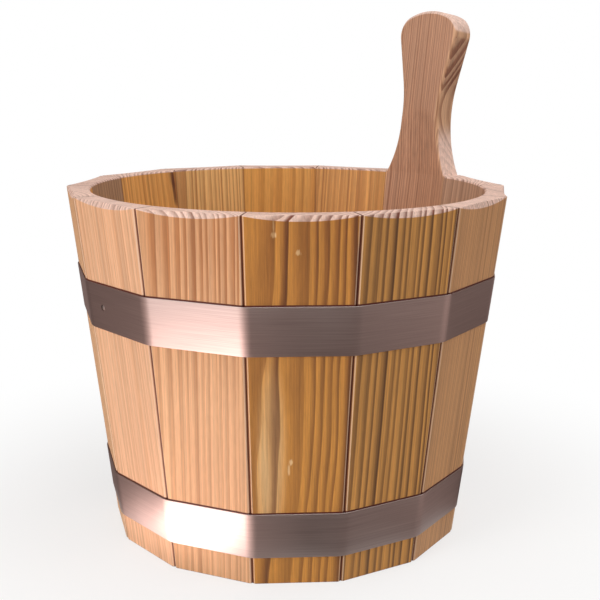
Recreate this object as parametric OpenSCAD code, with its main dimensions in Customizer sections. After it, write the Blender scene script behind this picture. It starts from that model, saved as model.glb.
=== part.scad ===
// Sauna bucket: tapered wooden staves held by two steel hoops, with one
// stave carried up past the rim and shaped as the handle.
// The origin is on the floor, on the bucket's axis. The handle is on +Y.

/* [Bucket] */
// Height of the rim above the floor
rim_h = 202; // [180:1:230]
// Radius to the outer joints at the rim
rim_r = 130; // [122:1:140]
// Radius to the outer joints at the foot
foot_r = 107; // [98:1:112]
// Wall thickness at the joints
wall_t = 14.8; // [13.5:0.1:16]

/* [Staves] */
// Number of staves, the handle's included
stave_count = 14; // [12:1:16]
// How far each outer arris is cut back along the face and the joint
arris_w = 1.2; // [0.6:0.1:1.6]
// How far the rim's outer bevel runs down the face at mid-stave
bevel_drop = 2.8; // [1.5:0.1:4]
// How far the rim's outer bevel runs in across the end grain at mid-stave
bevel_in = 1.6; // [1:0.1:2.5]
// Bevel on the rim's inner edge
inner_bevel = 0.8; // [0.4:0.1:1.5]
// Height of the bevel inside the foot
chime_h = 5; // [3:0.5:8]
// How far that bevel cuts into the foot
chime_in = 3; // [1.5:0.5:4]

/* [Handle] */
// Thickness of the handle's board
board_t = 16.2; // [15:0.1:18]
// Overall height of the handle above the rim, along the board
handle_rise = 103.6; // [98:0.1:112]
// Half the width of the waist
waist_half = 15.4; // [14:0.1:17]
// Height of the waist above the rim, along the board
waist_up = 40.4; // [37:0.1:43]
// Radius of the hollow on each side of the waist
waist_r = 82; // [79:1:92]
// Half the width of the knob
knob_half = 23.8; // [22:0.1:25]
// Radius of the knob's two shoulders
knob_r = 12.6; // [11.5:0.1:13.4]
// Depth of the knob's shoulder centres below its top
knob_down = 14.9; // [14.2:0.1:17]
// Radius of the rounded edges
edge_r = 2.1; // [1.5:0.1:3]

/* [Bottom] */
// Thickness of the bottom boards
bottom_t = 12; // [10:0.5:14]
// Height of the boards' underside above the floor
bottom_z = 16; // [14:0.5:20]
// Width of the middle board, without its tongues
middle_w = 70; // [56:1:84]
// Width of the groove that the staves hold the bottom in
croze_w = 6; // [5:0.5:7]
// Depth of that groove
croze_d = 4; // [3:0.5:5]
// How far each tongue stands out of the middle board
tongue_l = 4; // [3:0.5:5]
// Thickness of each tongue
tongue_t = 4; // [3:0.5:5]
// Clearance of the bottom in its groove and of the tongues
wood_gap = 0.2; // [0.1:0.05:0.3]

/* [Hoops] */
// Width of the hoop strap
hoop_w = 26; // [20:1:30]
// Thickness of the hoop strap
hoop_t = 0.7; // [0.5:0.1:1]
// Height of the upper hoop's lower edge above the floor
upper_hoop_z = 130.7; // [120:0.1:140]
// Height of the lower hoop's lower edge above the floor
lower_hoop_z = 16.2; // [14:0.1:24]
// Length over which the strap's ends lap
lap_l = 34; // [28:1:38]
// Length of the step where the outer end leaves the inner one
lap_step = 4; // [3:0.5:6]

/* [Fasteners] */
// Radius of a rivet's shank
rivet_r = 1.6; // [1.2:0.1:2]
// Radius of a rivet's head
rivet_head_r = 3.2; // [2.8:0.1:4]
// Height of a rivet's head
rivet_head_h = 1.2; // [0.8:0.1:1.6]
// Distance between a lap's two rivets
rivet_pitch = 16; // [12:1:18]
// Radius of a nail's shank
nail_r = 0.9; // [0.7:0.1:1.1]
// Radius of a nail's head
nail_head_r = 1.8; // [1.5:0.1:2.2]
// Height of a nail's head
nail_head_h = 0.7; // [0.5:0.1:1]
// Length of a nail under its head
nail_l = 10; // [8:0.5:12]
// Clearance round rivets and nails
pin_gap = 0.05; // [0.03:0.01:0.1]

/* [Hidden] */
PLAIN_STAVES = [for (i = [1 : stave_count - 1]) str("stave_", i)];
$fn = 96;
// The rim's scoops are cut with a far larger circle than the rest
SCOOP_FN = 360;

pitch = 360 / stave_count;
half_pitch = pitch / 2;
// From a joint's radius to the middle of the flat face beside it
flat = cos(half_pitch);
foot_a = foot_r * flat;
rim_a = rim_r * flat;
face_slope = (rim_a - foot_a) / rim_h;
wall_slope = (rim_r - foot_r) / rim_h;
lean = atan(face_slope);
joint_lean = atan(wall_slope);
face_half = rim_r * sin(half_pitch);
// Height of the rim, measured along a leaning face
rim_s = face_s(rim_h);
// Room for cutters to pass through a surface
over = 1;
reach = 2 * rim_r;

// Radius of the round inside wall at height z
function inside_r(z) = foot_r - wall_t + wall_slope * z;

// The groove in the staves: its lower edge and its radius
groove_z = bottom_z + (bottom_t - croze_w) / 2;
groove_r = inside_r(groove_z + croze_w / 2) + croze_d;

// Distance along a leaning face to height z
function face_s(z) = z / cos(lean);

// Each nail: the stave it is in, the hoop's height, and its offset across the stave
NAILS = [
    [7, upper_hoop_z, -13], [1, upper_hoop_z, 0],
    [1, lower_hoop_z, 0], [stave_count - 1, lower_hoop_z, 0]
];

// Puts a shape drawn beside the origin onto the outer face of stave i:
// x leaves the face, y runs across the stave and z runs up along it
module on_face(i) {
    rotate([0, 0, 90 + i * pitch]) translate([foot_a, 0, 0]) rotate([0, lean, 0]) children();
}

// The space of stave i between its two joints, from the axis outwards
module sector(i) {
    side = reach * tan(half_pitch);
    rotate([0, 0, 90 + i * pitch]) linear_extrude(rim_h) polygon([[0, 0], [reach, -side], [reach, side]]);
}

// The board that stave i is cut from
module board(i) {
    intersection() {
        sector(i);
        on_face(i) translate([-board_t, -reach / 2, -reach]) cube([board_t, reach, 4 * reach]);
    }
}

// The round inside: the cone of the wall, the bottom's groove, and the bevel
// at the foot
module inside() {
    translate([0, 0, -over])
        cylinder(h = rim_h + 2 * over, r1 = inside_r(-over), r2 = inside_r(rim_h + over));
    translate([0, 0, groove_z]) cylinder(h = croze_w, r = groove_r);
    translate([0, 0, -over]) cylinder(
        h = chime_h + over,
        r1 = inside_r(0) + chime_in * (1 + over / chime_h),
        r2 = inside_r(chime_h)
    );
}

// Cuts the two outer arrises of stave i, along its joints, each with a square
// bar that is longer than the stave
module arris_cuts(i) {
    corner = 90 - half_pitch;
    deep = arris_w * cos(corner / 2);
    bar = 10 * arris_w;
    for (s = [-1, 1])
        rotate([0, 0, 90 + i * pitch + s * half_pitch]) translate([foot_r, 0, 0])
            rotate([0, joint_lean, 0]) rotate([0, 0, s * corner / 2])
            translate([-deep, -bar / 2, -bar]) cube([bar, bar, rim_s + 3 * bar]);
}

// Cuts the bevel on the outer edge of the rim. It is a shallow scoop that is
// deepest at mid-stave and runs out at the joints
module rim_bevel(i) {
    out = bevel_drop * face_slope;
    run = bevel_in - out;
    line = sqrt(run * run + bevel_drop * bevel_drop);
    deep = bevel_in * bevel_drop / line;
    scoop_r = (face_half * face_half + deep * deep) / (2 * deep);
    tilt = atan2(-run, bevel_drop);
    rotate([0, 0, 90 + i * pitch]) translate([rim_a - bevel_in, 0, rim_h]) rotate([0, tilt, 0])
        translate([scoop_r, 0, -2 * line]) cylinder(h = 4 * line, r = scoop_r, $fn = SCOOP_FN);
}

// The holes for the nails that go into stave i
module nail_holes(i) {
    for (n = NAILS) if (n[0] == i)
        on_face(i) translate([0, n[2], face_s(n[1] + hoop_w / 2)]) rotate([0, -90, 0])
            translate([0, 0, -over]) cylinder(h = nail_l - hoop_t + pin_gap + over, r = nail_r + pin_gap);
}

// The cone that cuts the bevel on the rim's inner edge
module inner_bevel_cone() {
    start_r = inside_r(rim_h - inner_bevel);
    translate([0, 0, rim_h - inner_bevel - over])
        cylinder(h = inner_bevel + 2 * over, r1 = start_r - over, r2 = start_r + inner_bevel + over);
}

// Turns a round cut for stave i so that its circles start behind the axis,
// away from the stave's joints
module turned(i) {
    rotate([0, 0, i * pitch - 90]) children();
}

module stave(i) {
    color("burlywood") difference() {
        board(i);
        turned(i) inside();
        turned(i) inner_bevel_cone();
        arris_cuts(i);
        rim_bevel(i);
        nail_holes(i);
    }
}

// Handle outline, drawn flat on the board: x across it and y up along it.
// It is worked out for the right-hand side, from the rim to the top
waist_s = rim_s + waist_up;
top_s = rim_s + handle_rise;
waist_c = [waist_half + waist_r, waist_s];
knob_c = [knob_half - knob_r, top_s - knob_down];
// The straight flank leans out by this angle, and touches both the hollow and
// the knob's shoulder
flank = atan2(knob_c[1] - waist_c[1], waist_c[0] - knob_c[0])
    - acos((waist_r + knob_r) / norm(waist_c - knob_c));
// The crown is one arc that touches both shoulders
crown_r = (pow(knob_c[0], 2) + pow(knob_down, 2) - pow(knob_r, 2)) / (2 * (knob_down - knob_r));
crown_c = [0, top_s - crown_r];
crown_from = atan2(knob_c[1] - crown_c[1], knob_c[0]);
// The hollow starts just under the rim, inside the board
start_s = rim_s - over;
waist_from = asin((waist_s - start_s) / waist_r);

// The outline's points, each with the direction that faces out of the wood
HOLLOW_STEPS = 14;
SHOULDER_STEPS = 7;
CROWN_STEPS = 5;
function bearing(a) = [cos(a), sin(a)];
OUTLINE = concat(
    [for (i = [0 : HOLLOW_STEPS]) let (a = waist_from - i * (waist_from + flank) / HOLLOW_STEPS)
        [waist_c - waist_r * bearing(a), bearing(i == 0 ? 0 : a)]],
    [for (i = [0 : SHOULDER_STEPS]) let (a = -flank + i * (crown_from + flank) / SHOULDER_STEPS)
        [knob_c + knob_r * bearing(a), bearing(a)]],
    [for (i = [1 : CROWN_STEPS]) let (a = crown_from + i * (90 - crown_from) / CROWN_STEPS)
        [crown_c + crown_r * bearing(a), bearing(a)]]
);
LAST = len(OUTLINE) - 1;
// Both sides, up the right and down the left
LOOP = concat(OUTLINE, [for (i = [LAST - 1 : -1 : 0])
    [[-OUTLINE[i][0][0], OUTLINE[i][0][1]], [-OUTLINE[i][1][0], OUTLINE[i][1][1]]]]);

// The rounded edge, as steps from the inner face to the outer one: how far
// the outline is drawn in, and the depth under the outer face
EDGE_STEPS = 4;
EDGE = concat(
    [for (i = [0 : EDGE_STEPS]) let (a = i * 90 / EDGE_STEPS)
        [edge_r * (1 - sin(a)), edge_r * (1 - cos(a)) - board_t]],
    [for (i = [EDGE_STEPS : -1 : 0]) let (a = i * 90 / EDGE_STEPS)
        [edge_r * (1 - sin(a)), -edge_r * (1 - cos(a))]]
);

// The carved part of the handle stave, from just under the rim to its top
module carved_handle() {
    count = len(LOOP);
    top_ring = len(EDGE) - 1;
    points = [for (e = EDGE) for (p = LOOP) let (q = p[0] - e[0] * p[1]) [e[1], q[0], q[1]]];
    edges = [for (r = [0 : top_ring - 1]) for (i = [0 : count - 1]) let (a = r * count, n = (i + 1) % count)
        [a + i, a + count + i, a + count + n, a + n]];
    // Each flat face is a ladder of strips from the right side to the left
    ladder = [for (i = [0 : LAST - 2]) [i, i + 1, 2 * LAST - i - 1, 2 * LAST - i]];
    tip = [LAST - 1, LAST, LAST + 1];
    inner = concat(ladder, [tip]);
    outer = [for (f = inner) [for (k = [len(f) - 1 : -1 : 0]) f[k] + top_ring * count]];
    polyhedron(points, concat(edges, inner, outer), convexity = 4);
}

module handle_stave() {
    color("burlywood") difference() {
        union() {
            board(0);
            on_face(0) carved_handle();
        }
        turned(0) inside();
        // The round hollow runs straight up and out of the leaning board
        turned(0) translate([0, 0, rim_h]) cylinder(h = handle_rise, r = inside_r(rim_h));
        intersection() {
            arris_cuts(0);
            translate([-reach, -reach, -reach]) cube([2 * reach, 2 * reach, reach + rim_h]);
        }
    }
}

// The whole bottom: a round that fills the bucket, with a thin edge that
// sits in the staves' groove
module bottom_round() {
    translate([0, 0, bottom_z]) cylinder(
        h = bottom_t,
        r1 = inside_r(bottom_z) - wood_gap,
        r2 = inside_r(bottom_z + bottom_t) - wood_gap
    );
    translate([0, 0, groove_z + wood_gap]) cylinder(h = croze_w - 2 * wood_gap, r = groove_r - wood_gap);
}

// A strip along X, from y0 to y1 and as high as asked, centred on the bottom's thickness
module strip(y0, y1, t) {
    translate([-reach, y0, bottom_z + (bottom_t - t) / 2]) cube([2 * reach, y1 - y0, t]);
}

module bottom_board_middle() {
    color("tan") intersection() {
        bottom_round();
        union() {
            strip(-middle_w / 2, middle_w / 2, 2 * bottom_t);
            strip(-middle_w / 2 - tongue_l, middle_w / 2 + tongue_l, tongue_t);
        }
    }
}

// The board on one side, s = 1 towards the handle and s = -1 away from it
module bottom_board_side(s) {
    color("tan") mirror([0, s < 0 ? 1 : 0, 0]) difference() {
        intersection() {
            bottom_round();
            strip(middle_w / 2, reach, 2 * bottom_t);
        }
        strip(middle_w / 2 - over, middle_w / 2 + tongue_l + wood_gap, tongue_t + 2 * wood_gap);
    }
}

// Places what is drawn at the two rivets of the hoop at height z
module at_rivets(z) {
    for (s = [-1, 1])
        on_face(0) translate([0, lap_step / 2 + s * rivet_pitch / 2, face_s(z + hoop_w / 2)])
            rotate([0, 90, 0]) children();
}

// Everything inside the staves' outer faces, moved out by d
module inside_faces(d) {
    intersection_for (i = [0 : stave_count - 1])
        on_face(i) translate([-2 * reach, -reach, -reach]) cube([2 * reach + d, 2 * reach, 3 * reach]);
}

// One hoop, z above the floor: a strap bent at each joint so that it lies flat
// on every stave, with its ends lapped and riveted on the handle's stave
module hoop(z) {
    color("silver") difference() {
        intersection() {
            union() {
                inside_faces(hoop_t);
                on_face(0) translate([0, 0, -over]) linear_extrude(rim_h) polygon([
                    [-hoop_t, -lap_l / 2], [hoop_t, -lap_l / 2], [2 * hoop_t, lap_step - lap_l / 2],
                    [2 * hoop_t, lap_l / 2], [-hoop_t, lap_l / 2]
                ]);
            }
            translate([-reach, -reach, z]) cube([2 * reach, 2 * reach, hoop_w]);
        }
        inside_faces(0);
        at_rivets(z) translate([0, 0, -over]) cylinder(h = 2 * hoop_t + 2 * over, r = rivet_r + pin_gap);
        for (n = NAILS) if (n[1] == z)
            on_face(n[0]) translate([-over, n[2], face_s(z + hoop_w / 2)]) rotate([0, 90, 0])
                cylinder(h = hoop_t + 2 * over, r = nail_r + pin_gap);
    }
}

// A pin with a domed head: its shank ends at z = 0 and its head starts at z = l
module headed_pin(l, r, head_r, head_h) {
    ball = (head_r * head_r + head_h * head_h) / (2 * head_h);
    cylinder(h = l + head_h / 2, r = r);
    translate([0, 0, l]) intersection() {
        translate([0, 0, head_h - ball]) sphere(ball);
        cylinder(h = 2 * head_h, r = head_r + over);
    }
}

module hoop_rivets() {
    color("gainsboro") for (z = [upper_hoop_z, lower_hoop_z])
        at_rivets(z) headed_pin(2 * hoop_t, rivet_r, rivet_head_r, rivet_head_h);
}

module hoop_nails() {
    color("dimgray") for (n = NAILS)
        on_face(n[0]) translate([hoop_t - nail_l, n[2], face_s(n[1] + hoop_w / 2)]) rotate([0, 90, 0])
            headed_pin(nail_l, nail_r, nail_head_r, nail_head_h);
}

for (i = [1 : stave_count - 1])
    stave(i);
handle_stave();
bottom_board_side(-1);  // bottom_board_left
bottom_board_middle();
bottom_board_side(1);  // bottom_board_right
hoop(upper_hoop_z);  // upper_hoop
hoop(lower_hoop_z);  // lower_hoop
hoop_rivets();
hoop_nails();
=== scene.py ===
"""The looks of a wooden sauna bucket: coopered pine staves, one of them carved into the
handle, held by two brushed steel hoops. Sizes are in millimetres until a mesh is made."""
import bmesh
import bpy
import numpy as np
from mathutils import Matrix, Vector


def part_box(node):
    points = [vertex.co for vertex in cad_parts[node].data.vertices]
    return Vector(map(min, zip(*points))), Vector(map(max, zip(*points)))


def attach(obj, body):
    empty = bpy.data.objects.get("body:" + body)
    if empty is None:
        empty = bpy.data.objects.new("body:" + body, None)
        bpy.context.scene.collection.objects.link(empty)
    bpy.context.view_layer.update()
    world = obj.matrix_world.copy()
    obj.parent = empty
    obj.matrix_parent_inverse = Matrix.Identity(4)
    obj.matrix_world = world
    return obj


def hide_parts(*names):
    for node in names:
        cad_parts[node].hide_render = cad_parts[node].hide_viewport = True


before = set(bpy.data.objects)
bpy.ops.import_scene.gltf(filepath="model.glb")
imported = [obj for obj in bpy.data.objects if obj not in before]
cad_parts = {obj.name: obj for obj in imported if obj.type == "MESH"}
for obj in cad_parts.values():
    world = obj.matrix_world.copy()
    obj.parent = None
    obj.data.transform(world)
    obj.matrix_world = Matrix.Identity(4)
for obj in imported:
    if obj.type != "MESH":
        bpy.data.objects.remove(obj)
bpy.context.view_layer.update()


# Plain staves
# Thirteen upright pine boards stand side by side round the bucket. Each is planed flat outside,
# turned to the round inside, grooved for the bottom, and bevelled at the rim and inside the foot.
STAVES = 14
RIM_H, RIM_R, FOOT_R, WALL_T = 202.0, 130.0, 107.0, 14.8
ARRIS_W, ARRIS_SOFT = 1.2, 0.25
BEVEL_DROP, BEVEL_IN, BEVEL_LEAST = 2.8, 1.6, 0.12
INNER_BEVEL = 0.8
CHIME_H, CHIME_IN = 5.0, 3.0
CROZE_Z, CROZE_W, CROZE_D = 19.0, 6.0, 4.0
EDGE_SOFT, CORNER_POINTS = 0.35, 5
JOINT_GAP = 0.05
# Columns of points across a stave: close together at each arris, and even over the face
ARRIS_COLUMNS = np.array([0.0, 0.3, 0.6, 0.9, 1.1, 1.3, 1.6, 2.2])
FACE_COLUMNS, FACE_SHARE = 17, 0.88

HALF_PITCH = np.pi / STAVES
FOOT_A, RIM_A = FOOT_R * np.cos(HALF_PITCH), RIM_R * np.cos(HALF_PITCH)
FACE_SLOPE = (RIM_A - FOOT_A) / RIM_H
LEAN = np.arctan(FACE_SLOPE)
FACE_HALF = RIM_R * np.sin(HALF_PITCH)
JOINT_SHARE = 1 - JOINT_GAP / (FOOT_R * HALF_PITCH)


def inside_r(z):
    """Radius of the round inside wall: it grows with height as the outer joints do."""
    return FOOT_R - WALL_T + (RIM_R - FOOT_R) / RIM_H * z


CROZE_TOP = CROZE_Z + CROZE_W
CROZE_R = inside_r(CROZE_Z + CROZE_W / 2) + CROZE_D


def bearing_of(stave):
    """The way a stave faces: the handle's stave, number 0, faces along y, and each next one is
    a pitch further round."""
    return np.pi / 2 + stave * 2 * HALF_PITCH


def turned(bearing, out, across, z):
    """Points given by how far they are outwards and across, turned about the bucket's axis to
    face a bearing."""
    x = out * np.cos(bearing) - across * np.sin(bearing)
    y = out * np.sin(bearing) + across * np.cos(bearing)
    return np.stack(np.broadcast_arrays(x, y, z), axis=-1)


def arris(distance):
    """How far the outer arris is cut back, at a distance from the joint: a slope of one in
    one that starts at the arris width and is blended into the flat face."""
    rest = ARRIS_W - distance
    return (rest + np.sqrt(rest ** 2 + ARRIS_SOFT ** 2)) / 2


def step(way, soft):
    """A short step along an edge, never more than a fifth of the edge."""
    length = np.linalg.norm(way, axis=-1, keepdims=True)
    return way / length * np.minimum(soft, length / 5)


def softened(corners, soft):
    """A closed loop of corners with each corner replaced by five points: one on each side at
    twice the softening distance, one on each side at that distance, and their curve's middle."""
    back = step(np.roll(corners, 1, axis=0) - corners, soft)
    on = step(np.roll(corners, -1, axis=0) - corners, soft)
    before, after = corners + back, corners + on
    middle = (before + 2 * corners + after) / 4
    loop = [corners + 2 * back, before, middle, after, corners + 2 * on]
    return np.stack(loop, axis=1).reshape(-1, *corners.shape[1:])


def woven(rows, columns, closed_rows=False, closed_columns=False):
    """Four-sided faces between the points of a grid, each turned to face outwards where the
    columns run anticlockwise and the rows upwards."""
    r = np.arange(rows if closed_rows else rows - 1)[:, None]
    c = np.arange(columns if closed_columns else columns - 1)[None, :]
    r1, c1 = (r + 1) % rows, (c + 1) % columns
    corners = [r * columns + c, r * columns + c1, r1 * columns + c1, r1 * columns + c]
    return np.stack(corners, axis=-1).reshape(-1, 4).tolist()


def end_faces(rows, columns):
    """The two flat ends of a closed profile: the first column turned one way and the last the
    other, so that both face outwards."""
    first = (np.arange(rows) * columns).tolist()
    return [first, [k + columns - 1 for k in first[::-1]]]


def laid(name, points, faces, flat_faces=0, merge=0.0, crisp=35.0, **marks):
    """A mesh object from points in millimetres. The last flat_faces faces are shaded flat,
    edges sharper than crisp degrees stay crisp, and each mark is a number kept at every point
    for the material to read."""
    mesh = bpy.data.meshes.new(name)
    mesh.from_pydata((points.reshape(-1, 3) / 1000).tolist(), [], faces)
    for mark, values in marks.items():
        layer = mesh.attributes.new(mark, "FLOAT", "POINT")
        layer.data.foreach_set("value", values.ravel().astype(np.float32))
    smooth = np.ones(len(faces), dtype=bool)
    smooth[len(faces) - flat_faces:] = False
    mesh.polygons.foreach_set("use_smooth", smooth)
    if merge:
        shell = bmesh.new()
        shell.from_mesh(mesh)
        bmesh.ops.remove_doubles(shell, verts=shell.verts, dist=merge / 1000)
        bmesh.ops.dissolve_degenerate(shell, edges=shell.edges, dist=merge / 1000)
        shell.to_mesh(mesh)
        shell.free()
    mesh.set_sharp_from_angle(angle=np.radians(crisp))
    mesh.validate()
    piece = bpy.data.objects.new(name, mesh)
    bpy.context.scene.collection.objects.link(piece)
    return piece


def stave_columns():
    """Places across a stave: a share of the half width, and a shift in millimetres that sets
    the columns at the two arrises."""
    edge = np.ones(len(ARRIS_COLUMNS))
    face = np.linspace(-FACE_SHARE, FACE_SHARE, FACE_COLUMNS)
    share = np.concatenate([-edge, face, edge])
    shift = np.concatenate([ARRIS_COLUMNS, 0 * face, -ARRIS_COLUMNS[::-1]])
    return share, shift


def plain_stave(number):
    """The stave's profile is a closed loop of corners in radius and height: up the flat outer
    face, in over the bevel and the rim, and down the inside past the groove. It is carried
    across the stave, where every outer point lies on the flat face and every inner one on the
    cone."""
    share, shift = stave_columns()

    def at(z):
        """At a height: the outer face's radius, the angle off the stave's middle, how far
        across that is, and how far from the joint."""
        apothem = FOOT_A + FACE_SLOPE * z
        half = apothem * np.tan(HALF_PITCH)
        across = half * share + shift
        angle = np.arctan2(across, apothem)
        gap = half - np.abs(across)
        return np.hypot(apothem, across) - arris(gap), angle, across, gap

    outer_rim, _, across, _ = at(RIM_H)
    scoop = np.maximum(1 - (across / FACE_HALF) ** 2, BEVEL_LEAST)
    low = RIM_H - BEVEL_DROP * scoop
    stops = [
        (at(0)[0], 0),
        (at(low)[0], low),
        (outer_rim - BEVEL_IN * scoop, RIM_H),
        (inside_r(RIM_H) + INNER_BEVEL, RIM_H),
        (inside_r(RIM_H - INNER_BEVEL), RIM_H - INNER_BEVEL),
        (inside_r(CROZE_TOP), CROZE_TOP),
        (CROZE_R, CROZE_TOP),
        (CROZE_R, CROZE_Z),
        (inside_r(CROZE_Z), CROZE_Z),
        (inside_r(CHIME_H), CHIME_H),
        (inside_r(0) + CHIME_IN, 0),
    ]
    stops_to_inside = 4
    corners = np.stack([
        np.stack(np.broadcast_arrays(r, z, share)[:2], axis=-1) for r, z in stops])
    loop = softened(corners, EDGE_SOFT)
    radius, z = loop[..., 0], loop[..., 1]
    _, angle, _, joint = at(z)
    angle = angle * JOINT_SHARE
    points = turned(bearing_of(number), radius * np.cos(angle), radius * np.sin(angle), z)
    rows, columns = radius.shape
    inner = np.arange(rows)[:, None] >= CORNER_POINTS * stops_to_inside
    inner = np.broadcast_to(inner, (rows, columns))
    faces = woven(rows, columns, closed_rows=True) + end_faces(rows, columns)
    return laid(f"pine_stave_{number}", points, faces, 2, inside=inner, joint=joint)


plain = []
for number in range(1, STAVES):
    piece = plain_stave(number)
    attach(piece, "root")
    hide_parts(f"stave_{number}")
    plain.append(piece)


# Bare pine, planed and left unfinished: pale early wood with a darker line of late wood in each
# ring, fine fibres along the grain, and pale end grain with dark strokes, duller from below by
# painted shade. Use has darkened the outside towards the rim. A pale line along each arris is
# partly paler planed wood and partly painted highlight, and the joints and the ledges above the
# hoops are dark with dirt and painted shade.
RING_PROFILE = [(0.0, 0.0), (0.35, 0.12), (0.62, 0.68), (0.84, 1.0), (0.95, 0.85), (1.0, 0.05)]
# Patterns are this much longer along the grain than across it
GRAIN_STRETCH = 14.0
# Sizes in millimetres of the fibres, the streaks, the patches and the sway of the rings
FIBRE_W, STREAK_W, PATCH_W, SWAY_W = 0.625, 1.25, 100 / 7, 100 / 3
STREAK_DRAWN, SWAY_DRAWN = 0.12, 3
# Years by which rings run ahead of even growth, how fast that turns, and the share of the
# contrast that the weakest late line has
PACE_YEARS, PACE_RATE, WEAKEST = 1.5, 0.4, 0.5
# How much the late wood stands up beside the fibres, and the height in millimetres of it all
RING_RELIEF, GRAIN_RELIEF = 0.6, 0.3
PINE_SHINY, PINE_DULL = 0.5, 0.68
# The wood shows its end from the first of these sines on, and fully at the second, and the
# dark strokes there have strengths of their own on the bevel, the rim and the underside. The duller
# tone and the stronger strokes on the underside are painted shade.
END_EARLY, END_LATE, END_SHADED_UNDER = "#ecc8b6", "#743a24", "#b98d6e"
END_FROM, END_FULL, BEVEL_UP, RIM_UP = 0.08, 0.26, 0.75, 0.97
BEVEL_STROKES, RIM_STROKES, SHADED_UNDER_STROKES = 1.3, 0.85, 2.6
# The outside has darkened between two heights, less in the early wood and more in the late
WEATHERED, WEATHER_FROM, WEATHER_TO = "#d2b996", 100.0, 190.0
WEATHER_LATE, EARLY_SHARE, LATE_SHARE = 0.6, 0.55, 1.5
# A pale line beside each arris, partly paler wood and partly painted highlight, at a distance from
# the joint
PLANED_AND_HIGHLIGHT, PALE_LINE_AT, PALE_LINE_HALF, PALE_LINE_SHARE = "#f9dcc2", ARRIS_W - 0.2, 0.3, 0.4
# Dark dirt and painted shade in each joint, less of it inside, and on the ledges above the hoops
DIRT_AND_SHADE, JOINT_DIRT_AND_SHADE, INNER_DIRT_AND_SHADE, JOINT_DARK_FROM, JOINT_DARK_TO = "#5c2415", 0.92, 0.45, 0.3, 0.75
LEDGES, LEDGE_HALF = (156.9, 42.4), 0.6
# A mark's depth, how ragged the fibres make it, its share on late wood, and where it thins out
MARK_DEPTH, MARK_RAGGED, MARK_ON_LATE = 9.0, (0, 2.4, 0.25), 0.15
MARK_FULL, MARK_GONE = 0.4, 1.1
# The two seams between the bottom boards
SEAM_Y, SEAM_HALF, SEAM_SHARE = 35.0, 0.5, 0.75


def linear(code):
    """A colour written as sRGB hex, turned to the linear values that shaders use."""
    part = np.array([int(code[k:k + 2], 16) for k in (1, 3, 5)]) / 255
    part = np.where(part <= 0.04045, part / 12.92, ((part + 0.055) / 1.055) ** 2.4)
    return (*part.tolist(), 1.0)


def node(tree, kind, inputs=None, **settings):
    """Adds one node, sets what it is told, and links or fills its inputs. Inputs 0 to 4 of a
    Map Range are its value, the two ends it comes from and the two it goes to. Inputs 0, 6 and
    7 of a Mix are its share and two colours."""
    made = tree.nodes.new(kind)
    for key, value in settings.items():
        setattr(made, key, value)
    for key, value in (inputs or {}).items():
        if isinstance(value, bpy.types.NodeSocket):
            tree.links.new(value, made.inputs[key])
        else:
            made.inputs[key].default_value = value
    return made


def empty_material(name):
    """A new material without nodes, and the tree that its nodes go into."""
    material = bpy.data.materials.new(name)
    material.use_nodes = True
    material.node_tree.nodes.clear()
    return material, material.node_tree


def in_stave(number, pith, tilt):
    """Where a stave's pith runs: it lies off the middle of the outer face by the pith's two
    distances, outwards and across, and leans with the face, tilted by two small angles."""
    mid = RIM_H / 2
    out = FOOT_A + FACE_SLOPE * mid + pith[0] * np.cos(LEAN)
    place = turned(bearing_of(number), out, pith[1], mid - pith[0] * np.sin(LEAN)) / 1000
    turn = (np.radians(tilt[0]), LEAN + np.radians(tilt[1]), bearing_of(number))
    return place.tolist(), turn


def end_grain(tree, coords, turn, colour, lateness, crown):
    """Cut across the grain, the wood is pale from above and, by painted shade, duller from below,
    and its late wood shows as dark strokes: strong from below, also painted shade, and from above
    as strong as crown says, most of all on the bevel. Returns the colour and where it is so."""
    normal = node(tree, "ShaderNodeMapping", {"Vector": coords.outputs["Normal"], "Rotation": turn},
                  vector_type="TEXTURE").outputs[0]
    up = node(tree, "ShaderNodeSeparateXYZ", {0: normal}).outputs[2]
    steep = node(tree, "ShaderNodeMath", {0: up}, operation="ABSOLUTE").outputs[0]
    end = node(tree, "ShaderNodeMapRange", {0: steep, 1: END_FROM, 2: END_FULL},
               interpolation_type="SMOOTHSTEP").outputs[0]
    # From below, the end grain takes a duller tone and stronger strokes, both painted shade
    above = node(tree, "ShaderNodeMapRange", {0: up, 1: -0.1, 2: 0.1}).outputs[0]
    strokes = node(tree, "ShaderNodeMapRange", {
        0: up, 1: BEVEL_UP, 2: RIM_UP, 3: BEVEL_STROKES, 4: RIM_STROKES}).outputs[0]
    side = node(tree, "ShaderNodeMapRange", {
        0: up, 1: -0.15, 2: 0.1, 3: SHADED_UNDER_STROKES, 4: crown}).outputs[0]
    strokes = node(tree, "ShaderNodeMath", {0: strokes, 1: side}, operation="MULTIPLY").outputs[0]
    strokes = node(tree, "ShaderNodeMath", {0: lateness, 1: strokes},
                   operation="MULTIPLY", use_clamp=True).outputs[0]
    tone = node(tree, "ShaderNodeMix", {0: above, 6: linear(END_SHADED_UNDER), 7: linear(END_EARLY)},
                data_type="RGBA").outputs[2]
    tone = node(tree, "ShaderNodeMix", {0: strokes, 6: tone, 7: linear(END_LATE)},
                data_type="RGBA").outputs[2]
    colour = node(tree, "ShaderNodeMix", {0: end, 6: colour, 7: tone}, data_type="RGBA")
    return colour.outputs[2], end


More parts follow.
